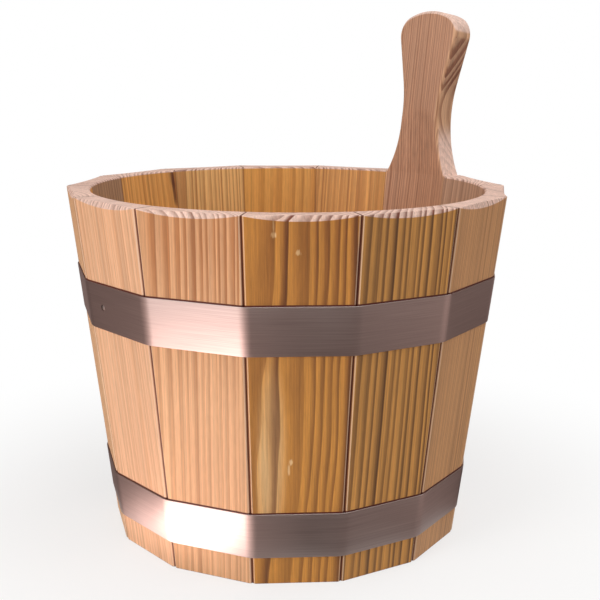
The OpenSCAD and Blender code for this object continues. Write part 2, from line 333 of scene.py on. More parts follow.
def stains_and_painted_light(tree, coords, colour, lateness, inner, end, weather):
    """The outside has darkened towards the rim, most of all in the late wood, but not on the
    end grain. A pale line along each arris is partly paler wood and partly painted highlight, and
    dirt with painted shade lies dark in the joints and on the ledge above each hoop."""
    outer = node(tree, "ShaderNodeMath", {0: 1.0, 1: inner},
                 operation="SUBTRACT", use_clamp=True).outputs[0]
    height = node(tree, "ShaderNodeSeparateXYZ", {0: coords.outputs["Object"]}).outputs[2]
    aged = node(tree, "ShaderNodeMapRange", {
        0: height, 1: WEATHER_FROM / 1000, 2: WEATHER_TO / 1000, 4: weather}).outputs[0]
    deeper = node(tree, "ShaderNodeMapRange", {
        0: lateness, 2: WEATHER_LATE, 3: EARLY_SHARE, 4: LATE_SHARE}).outputs[0]
    for share in (outer, deeper):
        aged = node(tree, "ShaderNodeMath", {0: aged, 1: share}, operation="MULTIPLY").outputs[0]
    aged = node(tree, "ShaderNodeMath", {0: aged, 1: end},
                operation="SUBTRACT", use_clamp=True).outputs[0]
    colour = node(tree, "ShaderNodeMix", {0: aged, 6: colour, 7: linear(WEATHERED)},
                  data_type="RGBA", blend_type="MULTIPLY").outputs[2]
    joint = node(tree, "ShaderNodeAttribute", attribute_name="joint").outputs["Fac"]
    # A pale line along each arris: paler wood, partly a painted highlight
    pale_line = node(tree, "ShaderNodeMath", {0: joint, 1: PALE_LINE_AT, 2: PALE_LINE_HALF},
                  operation="COMPARE").outputs[0]
    for share in (outer, PALE_LINE_SHARE):
        pale_line = node(tree, "ShaderNodeMath", {0: pale_line, 1: share},
                      operation="MULTIPLY").outputs[0]
    colour = node(tree, "ShaderNodeMix", {0: pale_line, 6: colour, 7: linear(PLANED_AND_HIGHLIGHT)},
                  data_type="RGBA").outputs[2]
    # A dark band at each joint: dirt, and painted shade of the gap between the staves
    shade_and_dirt = node(tree, "ShaderNodeMapRange", {
        0: joint, 1: JOINT_DARK_FROM, 2: JOINT_DARK_TO, 3: JOINT_DIRT_AND_SHADE, 4: 0.0}).outputs[0]
    share = node(tree, "ShaderNodeMapRange", {0: outer, 3: INNER_DIRT_AND_SHADE, 4: 1.0}).outputs[0]
    shade_and_dirt = node(tree, "ShaderNodeMath", {0: shade_and_dirt, 1: share}, operation="MULTIPLY").outputs[0]
    # A dark line above each hoop: dirt, and painted shadow where the strip's top edge stands off
    # the wood
    for z in LEDGES:
        ledge = node(tree, "ShaderNodeMath", {0: height, 1: z / 1000, 2: LEDGE_HALF / 1000},
                     operation="COMPARE").outputs[0]
        ledge = node(tree, "ShaderNodeMath", {0: ledge, 1: outer}, operation="MULTIPLY").outputs[0]
        shade_and_dirt = node(tree, "ShaderNodeMath", {0: shade_and_dirt, 1: ledge}, operation="MAXIMUM").outputs[0]
    return node(tree, "ShaderNodeMix", {0: shade_and_dirt, 6: colour, 7: linear(DIRT_AND_SHADE)},
                data_type="RGBA").outputs[2]


def marked(tree, grain, colour, lateness, marks):
    """Pale or dark marks, weaker on the hard late wood. Each has its colour, its distance out
    from the pith, across from it and up from the stave's middle, its half width and half
    height, and its strength."""
    yielding = node(tree, "ShaderNodeMapRange", {0: lateness, 3: 1.0, 4: MARK_ON_LATE}).outputs[0]
    for tone, out, across, along, half_width, half_height, strength in marks:
        middle = (out, across, along / GRAIN_STRETCH)
        reach = (1 / MARK_DEPTH, 1 / half_width, GRAIN_STRETCH / half_height)
        off = node(tree, "ShaderNodeVectorMath", {0: grain, 1: middle},
                   operation="SUBTRACT").outputs[0]
        off = node(tree, "ShaderNodeVectorMath", {0: off, 1: reach},
                   operation="MULTIPLY").outputs[0]
        away = node(tree, "ShaderNodeVectorMath", {0: off}, operation="LENGTH").outputs["Value"]
        there = node(tree, "ShaderNodeMapRange", {
            0: away, 1: MARK_FULL, 2: MARK_GONE, 3: strength, 4: 0.0},
            interpolation_type="SMOOTHSTEP").outputs[0]
        there = node(tree, "ShaderNodeMath", {0: there, 1: yielding},
                     operation="MULTIPLY").outputs[0]
        colour = node(tree, "ShaderNodeMix", {0: there, 6: colour, 7: linear(tone)},
                      data_type="RGBA").outputs[2]
    return colour


def pine(name, place, turn, spacing, early, late, contrast, wander, seed,
         inside=None, weather=0.0, marks=(), crown=1.0):
    """Rings of the given spacing in millimetres about the pith, with a slow wander of the
    given size. Each ring darkens slowly and ends in a late line of its own strength. Wood
    without colours for an inside is a bottom board, with dark seams beside it."""
    material, tree = empty_material(name)
    coords = node(tree, "ShaderNodeTexCoord")
    grain = node(tree, "ShaderNodeMapping", {
        "Vector": coords.outputs["Object"], "Location": place, "Rotation": turn,
        "Scale": (0.001, 0.001, 0.001 * GRAIN_STRETCH)}, vector_type="TEXTURE").outputs[0]
    waves = node(tree, "ShaderNodeVectorMath", {0: grain, 1: (1, 1, SWAY_DRAWN)},
                 operation="MULTIPLY").outputs[0]
    slow = node(tree, "ShaderNodeTexNoise", {
        "Vector": waves, "W": seed, "Scale": 1 / SWAY_W, "Detail": 2.0},
        noise_dimensions="4D").outputs["Color"]
    bent = node(tree, "ShaderNodeVectorMath", {0: slow, 1: (wander,) * 3, 2: grain},
                operation="MULTIPLY_ADD").outputs[0]
    flat = node(tree, "ShaderNodeVectorMath", {0: bent, 1: (1, 1, 0)},
                operation="MULTIPLY").outputs[0]
    radius = node(tree, "ShaderNodeVectorMath", {0: flat}, operation="LENGTH").outputs["Value"]
    years = node(tree, "ShaderNodeMath", {0: radius, 1: 1 / spacing},
                 operation="MULTIPLY").outputs[0]
    pace = node(tree, "ShaderNodeTexNoise", {"W": years, "Scale": PACE_RATE, "Detail": 1.0},
                noise_dimensions="1D").outputs[0]
    years = node(tree, "ShaderNodeMath", {0: pace, 1: PACE_YEARS, 2: years},
                 operation="MULTIPLY_ADD").outputs[0]
    ring = node(tree, "ShaderNodeMath", {0: years}, operation="FRACT").outputs[0]
    ramp = node(tree, "ShaderNodeValToRGB", {0: ring})
    for part, _ in RING_PROFILE[1:-1]:
        ramp.color_ramp.elements.new(part)
    for stop, (part, tone) in zip(ramp.color_ramp.elements, RING_PROFILE):
        stop.position, stop.color = part, (tone, tone, tone, 1)
    year = node(tree, "ShaderNodeMath", {0: years}, operation="FLOOR").outputs[0]
    own = node(tree, "ShaderNodeTexWhiteNoise", {"W": year},
               noise_dimensions="1D").outputs["Value"]
    own = node(tree, "ShaderNodeMapRange", {
        0: own, 3: WEAKEST * contrast, 4: contrast}).outputs[0]
    lateness = node(tree, "ShaderNodeMath", {0: ramp.outputs[0], 1: own},
                    operation="MULTIPLY").outputs[0]
    colour = node(tree, "ShaderNodeMix", {0: lateness, 6: linear(early), 7: linear(late)},
                  data_type="RGBA").outputs[2]

    # Fibres, patches and long streaks, each with its reach in the noise and in lightness
    fibre = node(tree, "ShaderNodeTexNoise", {
        "Vector": grain, "Scale": 1 / FIBRE_W, "Detail": 3.0, "Roughness": 0.6})
    drawn = node(tree, "ShaderNodeVectorMath", {0: grain, 1: (1, 1, STREAK_DRAWN)},
                 operation="MULTIPLY").outputs[0]
    streak = node(tree, "ShaderNodeTexNoise", {
        "Vector": drawn, "Scale": 1 / STREAK_W, "Detail": 3.0, "Roughness": 0.65}).outputs[0]
    patch = node(tree, "ShaderNodeTexNoise", {
        "Vector": grain, "Scale": 1 / PATCH_W, "Detail": 2.0}).outputs[0]
    shade = node(tree, "ShaderNodeMapRange", {
        0: fibre.outputs[0], 1: 0.25, 2: 0.75, 3: 0.86, 4: 1.1}).outputs[0]
    for pattern, darkest, lightest in ((patch, 0.9, 1.06), (streak, 0.79, 1.16)):
        share = node(tree, "ShaderNodeMapRange", {
            0: pattern, 1: 0.3, 2: 0.7, 3: darkest, 4: lightest}).outputs[0]
        shade = node(tree, "ShaderNodeMath", {0: shade, 1: share}, operation="MULTIPLY").outputs[0]

    if inside:
        inner = node(tree, "ShaderNodeAttribute", attribute_name="inside").outputs["Fac"]
        golden = node(tree, "ShaderNodeMix", {
            0: lateness, 6: linear(inside[0]), 7: linear(inside[1])}, data_type="RGBA").outputs[2]
        colour = node(tree, "ShaderNodeMix", {0: inner, 6: colour, 7: golden},
                      data_type="RGBA").outputs[2]
        ragged = node(tree, "ShaderNodeVectorMath", {
            0: fibre.outputs["Color"], 1: MARK_RAGGED, 2: grain},
            operation="MULTIPLY_ADD").outputs[0]
        colour = marked(tree, ragged, colour, lateness, marks)
        colour, end = end_grain(tree, coords, turn, colour, lateness, crown)
    colour = node(tree, "ShaderNodeVectorMath", {0: colour, "Scale": shade},
                  operation="SCALE").outputs[0]
    if inside:
        colour = stains_and_painted_light(tree, coords, colour, lateness, inner, end, weather)
    else:
        side = node(tree, "ShaderNodeSeparateXYZ", {0: coords.outputs["Object"]}).outputs[1]
        side = node(tree, "ShaderNodeMath", {0: side}, operation="ABSOLUTE").outputs[0]
        seam = node(tree, "ShaderNodeMath", {0: side, 1: SEAM_Y / 1000, 2: SEAM_HALF / 1000},
                    operation="COMPARE").outputs[0]
        seam = node(tree, "ShaderNodeMath", {0: seam, 1: SEAM_SHARE},
                    operation="MULTIPLY").outputs[0]
        colour = node(tree, "ShaderNodeMix", {0: seam, 6: colour, 7: linear(DIRT_AND_SHADE)},
                      data_type="RGBA").outputs[2]
    rise = node(tree, "ShaderNodeMath", {0: lateness, 1: RING_RELIEF, 2: fibre.outputs[0]},
                operation="MULTIPLY_ADD").outputs[0]
    bump = node(tree, "ShaderNodeBump", {
        "Strength": 0.5, "Distance": GRAIN_RELIEF / 1000, "Height": rise})
    rough = node(tree, "ShaderNodeMapRange", {
        0: fibre.outputs[0], 3: PINE_SHINY, 4: PINE_DULL}).outputs[0]
    skin = node(tree, "ShaderNodeBsdfPrincipled", {
        "Base Color": colour, "Roughness": rough, "IOR": 1.5, "Normal": bump.outputs[0]})
    node(tree, "ShaderNodeOutputMaterial", {"Surface": skin.outputs[0]})
    return material


# Each plain stave: where the pith lies and how it is tilted, the ring spacing, the early and the
# late wood's colours, how strong the lines are, how far they wander, and how much the wood has
# darkened towards the rim
BOARDS = {
    1: ((60, -50), (1, 0), 2.4, "#dca971", "#a0602f", 0.7, 3, 0.3),
    2: ((-70, 20), (0.6, 0.6), 2.8, "#dfae78", "#a0602f", 0.8, 4, 0.4),
    3: ((55, 60), (0.5, 0), 2.2, "#d9a468", "#9b5c2c", 0.8, 2, 0.3),
    4: ((-60, -40), (-1, 0.5), 2.6, "#deaa72", "#a0602f", 0.7, 3, 0.5),
    5: ((-65, 55), (0.4, 0), 2.0, "#dba66c", "#96562a", 0.8, 2, 0.3),
    6: ((60, 30), (1, -0.6), 2.6, "#e2b283", "#a96c40", 0.6, 4, 0.3),
    7: ((-20, -95), (0.4, 0), 3.1, "#efbb92", "#d6905e", 0.5, 3, 0.3),
    8: ((48, -34), (-3.0, 0), 2.3, "#ecb688", "#9f5f2a", 0.62, 1.5, 1.0),
    9: ((-50, -22), (0.6, 0.8), 3.0, "#cf8d3a", "#63330f", 0.95, 9, 0.5),
    10: ((-56, -62), (0.7, 0), 3.2, "#d09245", "#48270f", 1.0, 3, 0.1),
    11: ((-12, -90), (0.5, 0), 1.6, "#cc9763", "#945f35", 0.6, 2, 0.2),
    12: ((60, 45), (0.8, 0), 2.2, "#d6a26a", "#935a2e", 0.7, 3, 0.3),
    13: ((-66, 30), (0.6, 0.6), 2.4, "#d8a56c", "#955c30", 0.7, 3, 0.4),
}
# The early and the late wood inside: golden, but duller on stave 5 and right of the handle
GOLDEN, DULL = ("#eeae5c", "#a8601f"), ("#c29b80", "#86604a")
INSIDES = {
    1: ("#e0a25a", "#9c5a22"), 2: ("#e6a654", "#b0702c"), 3: ("#f3c07a", "#98500f"),
    5: ("#b08a68", "#7a563c"), 12: DULL, 13: DULL,
}
# Stave 9 has a band of paler wood low on the left, and three bruises. Stave 4 has a dark split
# inside, at the rim.
BRUISE, SPLIT = "#f6d4a0", "#5e2a10"
MARKS = {
    4: [(SPLIT, 46, 16.2, 90.0, 1.9, 16.0, 0.9), (SPLIT, 46, 16.6, 98.0, 2.8, 9.0, 0.8)],
    9: [
        (BRUISE, 50, 9.2, -22.0, 8.5, 62.0, 0.36), (BRUISE, 50, 4.7, -42.0, 4.5, 40.0, 0.25),
        (BRUISE, 50, 11.0, 94.5, 1.5, 1.8, 0.95), (BRUISE, 50, 10.9, 99.0, 0.6, 4.5, 0.8),
        (BRUISE, 50, 22.6, 85.5, 1.5, 1.7, 0.9), (BRUISE, 50, 19.1, -26.5, 1.1, 2.0, 0.8),
        (BRUISE, 50, 17.8, -31.0, 0.8, 3.8, 0.6),
    ],
}
for number, (pith, tilt, spacing, early, late, contrast, wander, weather) in BOARDS.items():
    place, turn = in_stave(number, pith, tilt)
    plain[number - 1].data.materials.append(pine(
        f"bare_pine_{number}", place, turn, spacing, early, late, contrast, wander, number,
        INSIDES.get(number, GOLDEN), weather, MARKS.get(number, ())))


# Handle stave
# The fourteenth stave runs on above the rim, where it is sawn to a waist and a knob. Its edges
# are rounded over by hand, and the round inside of the bucket runs out on its inner face.
BOARD_T, EDGE_R = 16.2, 2.1
HANDLE_RISE = 103.6
WAIST_HALF, WAIST_UP, WAIST_R = 15.4, 40.4, 82.0
KNOB_HALF, KNOB_R, KNOB_DOWN = 23.8, 12.6, 14.9
HOLLOW_STEPS, SHOULDER_STEPS, CROWN_STEPS = 40, 22, 18
ACROSS_STEPS, ROUND_STEPS = 21, 6
# How far in the two middle points of each side lie, as shares of the board
SIDE_SHARES = [0.35, 0.65]
# Height above the rim over which the sections turn square to the board
LEVEL_OUT = 40.0
# Distances of the outer points from each joint, and the small turn off it of the innermost
TO_JOINT = np.array([2.4, 1.8, 1.5, 1.2, 0.9, 0.6, 0.3, 0.0])
SHY_OF_JOINT = 0.002
# Points up to this far above the rim lie beside a joint, and higher ones count as far from it
RIM_REACH, NO_JOINT = 0.01, 9.0
HANDLE_MERGE = 0.004


def handle_outline():
    """The right-hand outline from the rim to the top, with the direction that faces out of the
    wood: the hollow beside the waist, a straight flank, the knob's shoulder and the crown.
    Each stretch is an arc that touches the next."""
    rim_s = RIM_H / np.cos(LEAN)
    top_s = rim_s + HANDLE_RISE
    waist = np.array([WAIST_HALF + WAIST_R, rim_s + WAIST_UP])
    knob = np.array([KNOB_HALF - KNOB_R, top_s - KNOB_DOWN])
    run, rise = waist[0] - knob[0], knob[1] - waist[1]
    flank = np.arctan2(rise, run) - np.arccos((WAIST_R + KNOB_R) / np.hypot(run, rise))
    crown_r = (knob[0] ** 2 + KNOB_DOWN ** 2 - KNOB_R ** 2) / (2 * (KNOB_DOWN - KNOB_R))
    crown = np.array([0.0, top_s - crown_r])
    crown_from = np.arctan2(knob[1] - crown[1], knob[0])
    waist_from = np.arcsin(WAIST_UP / WAIST_R)
    stretches = [
        (waist, -WAIST_R, np.linspace(waist_from, -flank, HOLLOW_STEPS)),
        (knob, KNOB_R, np.linspace(-flank, crown_from, SHOULDER_STEPS)),
        (crown, crown_r, np.linspace(crown_from, np.pi / 2, CROWN_STEPS)[1:]),
    ]
    facing = [np.stack([np.cos(a), np.sin(a)], axis=-1) for _, _, a in stretches]
    line = [c + r * f for (c, r, _), f in zip(stretches, facing)]
    return np.concatenate(line), np.concatenate(facing), rim_s


def handle_stave():
    """Closed sections are stacked up the stave. Each runs across the outer face, in along one
    side, back across the inner face and out along the other side. Below the rim the sides are
    the radial joints, and above it they follow the carved outline with rounded edges."""
    outline, facing, rim_s = handle_outline()
    spread = np.linspace(-1, 1, ACROSS_STEPS)
    quarter = np.linspace(0, np.pi / 2, ROUND_STEPS)[1:]
    inset = EDGE_R * (1 - np.sin(quarter))
    dip = EDGE_R * (1 - np.cos(quarter))
    draw_in = np.concatenate([inset, [0, 0], inset[::-1]])
    share_in = np.concatenate([0 * dip, SIDE_SHARES, np.ones(len(dip))])
    depth_in = np.concatenate([dip, [0, 0], -dip[::-1]])
    count = len(draw_in)
    back = slice(ACROSS_STEPS + count, 2 * ACROSS_STEPS + count)

    def hollow(across, s):
        """Depth of the inner face: the board's, less where the bucket's round passes by."""
        out = np.sqrt(inside_r(RIM_H) ** 2 - across ** 2)
        return np.minimum(BOARD_T, (FOOT_A + s * np.sin(LEAN) - out) / np.cos(LEAN))

    x, s = outline[:, :1], outline[:, 1:]
    nx, ns = facing[:, :1], facing[:, 1:]
    level = 1 - np.clip((s - rim_s) / LEVEL_OUT, 0, 1)

    def placed(across, along, depth):
        """Points of the leaning board, given along it and into it, as out, across and up."""
        along = along - level * depth * np.tan(LEAN)
        out = FOOT_A + along * np.sin(LEAN) - depth * np.cos(LEAN)
        return out, across, along * np.cos(LEAN) + depth * np.sin(LEAN)

    face_y, face_s = (x - EDGE_R * nx) * spread, s - EDGE_R * ns + 0 * spread
    side_y, side_s = x - nx * draw_in, s - ns * draw_in
    side_d = hollow(x - EDGE_R * nx, s - EDGE_R * ns) * share_in + depth_in
    back_y = face_y[:, ::-1]
    blocks = [
        placed(face_y, face_s, 0 * face_y),
        placed(side_y, side_s, side_d),
        placed(back_y, face_s, hollow(back_y, face_s)),
        placed(-side_y[:, ::-1], side_s[:, ::-1], side_d[:, ::-1]),
    ]
    upper = [np.concatenate([np.broadcast_to(b[k], b[1].shape) for b in blocks], axis=1)
             for k in range(3)]

    # Below the rim the same columns lie on the flat face, the joints and the cone
    heights, radii = zip(
        (0, inside_r(0) + CHIME_IN), (CHIME_H, inside_r(CHIME_H)),
        (CROZE_Z, inside_r(CROZE_Z)), (CROZE_Z, CROZE_R),
        (CROZE_TOP, CROZE_R), (CROZE_TOP, inside_r(CROZE_TOP)),
        (RIM_H / 2, inside_r(RIM_H / 2)), (RIM_H, inside_r(RIM_H)),
    )
    z, inner_r = np.array(heights)[:, None], np.array(radii)[:, None]
    apothem = FOOT_A + FACE_SLOPE * z
    base = outline[0, 0] - EDGE_R * facing[0, 0]
    turn = HALF_PITCH * JOINT_SHARE
    edge_y = apothem * np.tan(HALF_PITCH) - TO_JOINT
    edge_r = np.hypot(apothem, edge_y) - arris(TO_JOINT)
    edge_a = np.arctan2(edge_y, apothem) * turn / HALF_PITCH
    joint_r = edge_r[:, -1:]
    past = np.linspace(0, 1, count - len(TO_JOINT) - 1)[1:]
    inner_base = np.arcsin(base / inside_r(RIM_H))
    down_a = np.concatenate([0 * past + turn, [turn - SHY_OF_JOINT, (turn + inner_base) / 2]])
    side_r = np.concatenate(
        [edge_r, joint_r + (inner_r - joint_r) * past, inner_r, inner_r], axis=1)
    side_a = np.concatenate([edge_a, down_a + 0 * z], axis=1)
    cone_a = np.arcsin(base * spread[::-1] / inside_r(RIM_H))
    flat_y = base * (apothem / RIM_A) * spread
    joint_x, joint_y = side_r * np.cos(side_a), side_r * np.sin(side_a)
    cone_x, cone_y = inner_r * np.cos(cone_a), inner_r * np.sin(cone_a)
    lower = [
        np.concatenate([apothem + 0 * flat_y, joint_x, cone_x, joint_x[:, ::-1]], axis=1),
        np.concatenate([flat_y, joint_y, cone_y, -joint_y[:, ::-1]], axis=1),
        z + 0 * upper[0][:1],
    ]
    # The faces run straight on from the stave into the handle
    for below, above in zip(lower, upper):
        below[-1, :ACROSS_STEPS] = above[0, :ACROSS_STEPS]
        below[-1, back] = above[0, back]
    out, across, up = [np.concatenate([a, b]) for a, b in zip(lower, upper)]
    rows, columns = out.shape
    inner = np.zeros((rows, columns))
    inner[:, back] = 1
    beside = (FOOT_A + FACE_SLOPE * up) * np.tan(HALF_PITCH) - np.abs(across)
    joint = np.where(up <= RIM_H + RIM_REACH, beside, NO_JOINT)
    foot = list(range(columns))[::-1]
    faces = woven(rows, columns, closed_columns=True) + [foot]
    return laid("pine_handle_stave", turned(bearing_of(0), out, across, up), faces, 1,
                merge=HANDLE_MERGE, inside=inner, joint=joint)


handle = handle_stave()
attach(handle, "root")
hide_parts("handle_stave")
place, turn = in_stave(0, (-30, -92), (0.5, 0))
handle.data.materials.append(pine(
    "bare_pine_handle", place, turn, 1.9, "#d8a780", "#8a5634", 0.75, 3, 20,
    inside=("#c99879", "#8c5a3b"), crown=0.35))


# Bottom
# Three pine boards, tongued together and bevelled by the cooper to sit in the staves' groove,
# with their grain across the bucket. Each one's pith lies below it, a little to one side.
BOTTOM_PITCH, PITH_ASIDE, PITH_DOWN = 0.07, 0.01, 0.05
for k, side in enumerate(("left", "middle", "right")):
    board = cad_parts[f"bottom_board_{side}"]
    board.data.materials.clear()
    place = (0, BOTTOM_PITCH * (k - 1) + PITH_ASIDE, -PITH_DOWN)
    board.data.materials.append(pine(
        f"bare_pine_bottom_{side}", place, (0, np.pi / 2, 0), 3.4, "#cf9c60", "#97602f",
        0.7, 8, 30 + k))


# Hoops
# Each hoop is one strip of stainless steel, brushed along its length. It is bent at every joint
# to lie flat on the staves, and its ends lap on the handle's stave and are riveted there.
HOOP_W, HOOP_T, STRIP_EDGE = 26.0, 0.7, 0.34
BEND_R, BEND_STEPS, EDGE_STEPS = 16.0, 9, 4
LAP_HALF, LAP_STEP, LAP_STEPS = 17.0, 4.0, 9
# Hairs of space between the strip and the wood, and between the lap and the strip under it
OFF_WOOD, LAP_GAP = 0.02, 0.03
# Places of the stations on a facet: under the lap, on a plain stave, before the lap and on it
UNDER_LAP = (LAP_STEP - LAP_HALF + 0.3, 0.0, 10.0, 18.0)
ON_STAVE = (-12.0, 0.0, 12.0)
BEFORE_LAP = (-20.0, -LAP_HALF - 0.4)
ON_LAP = (-12.6, 0.0, 8.0, LAP_HALF)


def steel_strip(name, low):
    """A rounded rectangle carried along the strip. At each height the strip follows a polygon
    of fourteen sides whose corners are arcs, and the last stretch steps out over the first."""
    # Each station: the bearing it faces, how far across the facet it is or how far it swings
    # about a bend, with nothing for the other, and its share of the lap's lift
    stations = []
    for turn in range(STAVES + 1):
        bearing = bearing_of(turn)
        if turn == 0:
            stations += [(bearing, y, None, 0.0) for y in UNDER_LAP]
        elif turn < STAVES:
            stations += [(bearing, y, None, 0.0) for y in ON_STAVE]
        else:
            stations += [(bearing, y, None, 0.0) for y in BEFORE_LAP]
            stations += [(bearing, -LAP_HALF + LAP_STEP * t, None, 3 * t ** 2 - 2 * t ** 3)
                         for t in np.linspace(0, 1, LAP_STEPS)]
            stations += [(bearing, y, None, 1.0) for y in ON_LAP]
        if turn < STAVES:
            stations += [(bearing + HALF_PITCH, 0.0, swing, 0.0)
                         for swing in np.linspace(-HALF_PITCH, HALF_PITCH, BEND_STEPS)]
    bearing, across, swing, lift = np.array(stations, dtype=float).T
    bent = ~np.isnan(swing)
    swing = np.where(bent, swing, 0.0)

    # The strip's section: how far out it is, and its height from the lower edge
    corner = np.linspace(0, np.pi / 2, EDGE_STEPS)
    sin, cos = STRIP_EDGE * np.sin(corner), STRIP_EDGE * np.cos(corner)
    near, far, top = STRIP_EDGE, HOOP_T - STRIP_EDGE, HOOP_W - STRIP_EDGE
    section_q = np.concatenate([far + cos[::-1], far + cos, near - cos[::-1], near - cos])
    section_z = np.concatenate([near - sin[::-1], top + sin, top + sin[::-1], near - sin])
    q, z = section_q[:, None], low + section_z[:, None]
    apothem = FOOT_A + FACE_SLOPE * z
    off = (q + OFF_WOOD) / np.cos(LEAN) + lift * (HOOP_T + LAP_GAP)
    # On a facet the point is out by the apothem; at a bend it swings about the bend's centre
    centre = (apothem - BEND_R) / np.cos(HALF_PITCH)
    out = np.where(bent, centre + (BEND_R + off) * np.cos(swing), apothem + off)
    across = np.where(bent, (BEND_R + off) * np.sin(swing), across + 0 * out)
    rows, columns = out.shape
    faces = woven(rows, columns, closed_rows=True) + end_faces(rows, columns)
    return laid(name, turned(bearing, out, across, z), faces, 2)


strips = []
for strap in ("upper_hoop", "lower_hoop"):
    piece = steel_strip(f"steel_{strap}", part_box(strap)[0].z * 1000)
    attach(piece, "root")
    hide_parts(strap)
    strips.append(piece)


# Stainless steel strip, brushed along its length: fine scratches run round the bucket, so a
# highlight is drawn out up and down. Scratches of 0.25 mm are coarser than real ones, so that
# they show, and smears of 25 mm dull it here and there.
SCRATCH_L, SCRATCH_W, SMEAR_W = 40.0, 0.25, 25.0
SCRATCH_DEPTH, ROUGH_REACH = 0.1, 0.07
DRAWN_OUT, QUARTER_TURN = 0.85, 0.25


def brushed_steel(name, base, roughness):
    """Scratches are noise that is stretched along the strip and fine up it. They move the
    colour between the two given, and with the smears they move the roughness."""
    material, tree = empty_material(name)
    spot = node(tree, "ShaderNodeTexCoord").outputs["Object"]
    scale = (1000 / SCRATCH_L, 1000 / SCRATCH_L, 1000 / SCRATCH_W)
    lines = node(tree, "ShaderNodeMapping", {"Vector": spot, "Scale": scale}).outputs[0]
    scratch = node(tree, "ShaderNodeTexNoise", {
        "Vector": lines, "Scale": 1.0, "Detail": 3.0}).outputs[0]
    smear = node(tree, "ShaderNodeTexNoise", {
        "Vector": spot, "Scale": 1000 / SMEAR_W, "Detail": 3.0}).outputs[0]
    both = node(tree, "ShaderNodeMath", {0: scratch, 1: smear}, operation="ADD").outputs[0]
    rough = node(tree, "ShaderNodeMapRange", {
        0: both, 1: 0.6, 2: 1.4, 3: roughness - ROUGH_REACH, 4: roughness + ROUGH_REACH})
    tone = node(tree, "ShaderNodeMapRange", {0: scratch, 1: 0.3, 2: 0.7}).outputs[0]
    colour = node(tree, "ShaderNodeMix", {0: tone, 6: linear(base[0]), 7: linear(base[1])},
                  data_type="RGBA").outputs[2]
    bump = node(tree, "ShaderNodeBump", {
        "Strength": 0.06, "Distance": SCRATCH_DEPTH / 1000, "Height": scratch})
    round_z = node(tree, "ShaderNodeTangent", direction_type="RADIAL", axis="Z")
    skin = node(tree, "ShaderNodeBsdfPrincipled", {
        "Base Color": colour, "Metallic": 1.0, "Roughness": rough.outputs[0],
        "Anisotropic": DRAWN_OUT, "Anisotropic Rotation": QUARTER_TURN,
        "Tangent": round_z.outputs[0], "Normal": bump.outputs[0]})
    node(tree, "ShaderNodeOutputMaterial", {"Surface": skin.outputs[0]})
    return material


hoop_steel = brushed_steel("brushed_stainless_steel", ("#a39894", "#baaeaa"), 0.42)
for strip in strips:
    strip.data.materials.append(hoop_steel)


# Rivets and nails
# Two domed rivets hold each lap, and small nails hold the hoops to the staves. Their heads are
# plain steel, duller than the hoops, and the nails are darker, partly darkened steel and partly
# painted shade round their small heads.
PIN_TONES = {"hoop_rivets": ("#a39a95", "#bbb3ae"), "hoop_nails": ("#5c5552", "#77706c")}
for name, tones in PIN_TONES.items():
    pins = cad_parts[name]
    pins.data.materials.clear()
    pins.data.materials.append(brushed_steel(f"dull_steel_{name}", tones, 0.45))


# Camera
# The photograph was taken from a little above the rim, about 0.6 m away, so that the handle
# stands to the right of the middle.
AZIMUTH, ELEVATION, ROLL = np.radians([47.76, 12.917, 0.349])
DISTANCE, AIM_RIGHT, AIM_UP = 0.614, 0.0075, 0.1322
LENS, SENSOR = 60.5, 36.0

right = np.array([np.cos(AZIMUTH), np.sin(AZIMUTH), 0.0])
level_back = np.array([np.sin(AZIMUTH), -np.cos(AZIMUTH), 0.0])
back = level_back * np.cos(ELEVATION) + np.array([0, 0, np.sin(ELEVATION)])
up = np.cross(back, right)
camera = bpy.data.objects.new("camera", bpy.data.cameras.new("camera"))
camera.data.lens, camera.data.sensor_width = LENS, SENSOR
pose = np.eye(4)
pose[:3, 0] = right * np.cos(ROLL) + up * np.sin(ROLL)
pose[:3, 1] = up * np.cos(ROLL) - right * np.sin(ROLL)
pose[:3, 2] = back
pose[:3, 3] = AIM_RIGHT * right + np.array([0, 0, AIM_UP]) + DISTANCE * back
camera.matrix_world = Matrix(pose.tolist())
bpy.context.scene.collection.objects.link(camera)
bpy.context.scene.camera = camera
bpy.context.scene.view_settings.view_transform = "Standard"


# Studio
# White paper under and round the bucket, a tall soft lamp at the left front, a wide soft lamp
# overhead, and weaker ones at the right and behind. A ring that only mirror rays meet stands
# for the room that the steel shows.
LAMP_AIM, ROOM_LIGHT = 0.12, 0.3
WHITE = (1, 1, 1, 1)


def bearing_from_camera(degrees):
    """A level direction, turned to the right from the one that points at the camera."""
    angle = np.radians(degrees)
    return level_back * np.cos(angle) + right * np.sin(angle)


def lamp(name, strength, azimuth, elevation, distance, width, height):
    """A soft lamp that faces the bucket, placed by its azimuth from the camera, to the right,
    and its elevation, in degrees."""
    light = bpy.data.lights.new(name, "AREA")
    light.shape, light.energy = "RECTANGLE", strength
    light.size, light.size_y = width, height
    rise = np.radians(elevation)
    way = Vector(bearing_from_camera(azimuth) * np.cos(rise) + [0, 0, np.sin(rise)])
    turn = way.to_track_quat("Z", "Y").to_matrix().to_4x4()
    thing = bpy.data.objects.new(name, light)
    thing.matrix_world = Matrix.Translation(Vector((0, 0, LAMP_AIM)) + way * distance) @ turn
    bpy.context.scene.collection.objects.link(thing)


def background_rays(tree):
    """One where a ray comes from the camera, or from a mirror or glass, and nothing elsewhere."""
    path = node(tree, "ShaderNodeLightPath").outputs
    seen = path["Is Camera Ray"]
    for other in (path["Is Glossy Ray"], path["Is Transmission Ray"]):
        seen = node(tree, "ShaderNodeMath", {0: seen, 1: other}, operation="MAXIMUM").outputs[0]
    return seen


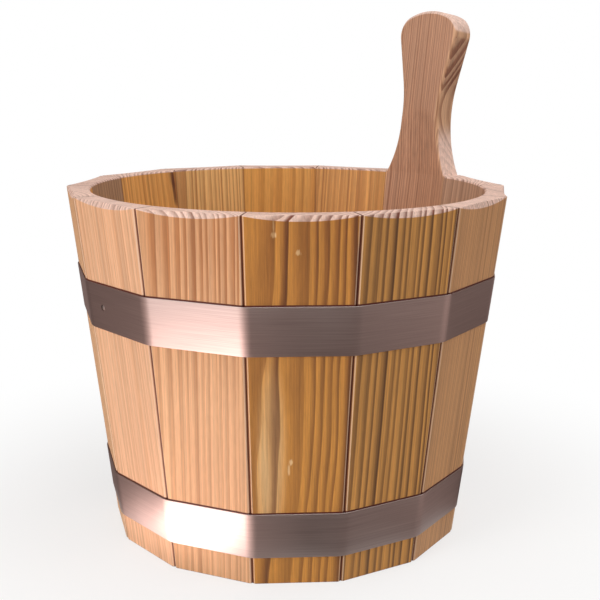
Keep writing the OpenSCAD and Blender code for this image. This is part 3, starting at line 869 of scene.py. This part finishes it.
world = bpy.data.worlds.new("studio")
world.use_nodes = True
bpy.context.scene.world = world
tree = world.node_tree
tree.nodes.clear()
dim = node(tree, "ShaderNodeBackground", {"Color": WHITE, "Strength": ROOM_LIGHT})
white = node(tree, "ShaderNodeBackground", {"Color": WHITE, "Strength": 1.0})
mixed = node(tree, "ShaderNodeMixShader", {
    0: background_rays(tree), 1: dim.outputs[0], 2: white.outputs[0]})
node(tree, "ShaderNodeOutputWorld", {"Surface": mixed.outputs[0]})

# Each lamp: watts, azimuth and elevation, distance, width and height
lamp("tall_key", 7.1, -46, 24, 1.15, 0.5, 0.95)
lamp("overhead", 5.0, 30, 72, 1.1, 1.0, 0.8)
lamp("right_fill", 1.8, 75, 20, 1.3, 0.6, 0.8)
lamp("back_fill", 3.5, 125, 38, 1.2, 0.8, 0.8)

# What the steel mirrors, a little warm: the azimuth from the camera, the glow near the bucket
# and the glow further out. The bright stretch on the left is the tall lamp's.
ROOM_TINT = "#ffdbd2"
ROOM_GLOW = [
    (-180, 0.7, 0.9), (-150, 0.3, 0.3), (-120, 0.25, 0.22), (-98, 0.25, 0.28), (-88, 0.3, 0.5),
    (-74, 0.7, 0.65), (-62, 3.2, 0.8), (-52, 8.5, 0.85), (-28, 9.5, 0.8), (-18, 3.0, 0.6),
    (-9, 0.5, 0.4), (2, 0.26, 0.3), (8, 0.12, 0.24), (14, 0.22, 0.26), (50, 0.3, 0.28),
    (62, 0.36, 0.42), (80, 0.3, 0.75), (90, 0.15, 0.62), (104, 0.0, 0.25), (125, 0.0, 0.3),
    (150, 0.4, 0.5), (180, 0.7, 0.9),
]
# The ring's section, in metres: out from the middle, and up
ROOM_R = np.array([0.118, 0.15, 0.2, 0.3, 0.45, 0.9, 0.945, 0.945])[:, None]
ROOM_Z = np.array([0.001, 0.001, 0.001, 0.001, 0.001, 0.001, 0.05, 0.9])[:, None]
NEAR_R, NEAR_FADE, ROOM_STEP = 0.15, 0.2, 4


def mirrored_room():
    """A ring that lies on the paper round the bucket and stands up at its far edge. Each point
    glows by its azimuth from the camera, near the bucket and further out."""
    turns = np.arange(-180, 181, ROOM_STEP)
    level = np.stack([bearing_from_camera(a) for a in turns])
    points = level[None] * ROOM_R[..., None] + np.array([0, 0, 1]) * ROOM_Z[..., None]
    azimuth, near, far = np.array(ROOM_GLOW).T
    near, far = np.interp(turns, azimuth, near), np.interp(turns, azimuth, far)
    outwards = np.clip((ROOM_R - NEAR_R) / NEAR_FADE, 0, 1)
    glow = near * (1 - outwards) + far * outwards
    ring = laid("mirrored_room", points * 1000, woven(len(ROOM_R), len(turns)), glow=glow)
    ring.visible_camera = ring.visible_diffuse = False
    ring.visible_shadow = ring.visible_transmission = False
    room, tree = empty_material("mirrored_room")
    strength = node(tree, "ShaderNodeAttribute", attribute_name="glow").outputs["Fac"]
    shine = node(tree, "ShaderNodeEmission", {"Color": linear(ROOM_TINT), "Strength": strength})
    node(tree, "ShaderNodeOutputMaterial", {"Surface": shine.outputs[0]})
    ring.data.materials.append(room)


mirrored_room()

# The paper takes the bucket's shadow near it and fades to plain white further out
PAPER, PAPER_HALF = "#eceae8", 3.0
FADE_FROM, FADE_TO, FADE_LEAST = 0.12, 0.34, 0.66
square = np.array([(-1, -1), (1, -1), (1, 1), (-1, 1)]) * PAPER_HALF * 1000
floor = laid("paper_floor", np.pad(square, ((0, 0), (0, 1))), [[0, 1, 2, 3]])
paper, tree = empty_material("white_paper")
spot = node(tree, "ShaderNodeTexCoord").outputs["Object"]
away = node(tree, "ShaderNodeVectorMath", {0: spot}, operation="LENGTH").outputs["Value"]
fade = node(tree, "ShaderNodeMapRange", {
    0: away, 1: FADE_FROM, 2: FADE_TO, 3: FADE_LEAST, 4: 1.0},
    interpolation_type="SMOOTHSTEP").outputs[0]
fade = node(tree, "ShaderNodeMath", {0: fade, 1: background_rays(tree)},
            operation="MULTIPLY").outputs[0]
matt = node(tree, "ShaderNodeBsdfDiffuse", {"Color": linear(PAPER)})
plain_white = node(tree, "ShaderNodeEmission", {"Color": WHITE, "Strength": 1.0})
both = node(tree, "ShaderNodeMixShader", {0: fade, 1: matt.outputs[0], 2: plain_white.outputs[0]})
node(tree, "ShaderNodeOutputMaterial", {"Surface": both.outputs[0]})
floor.data.materials.append(paper)
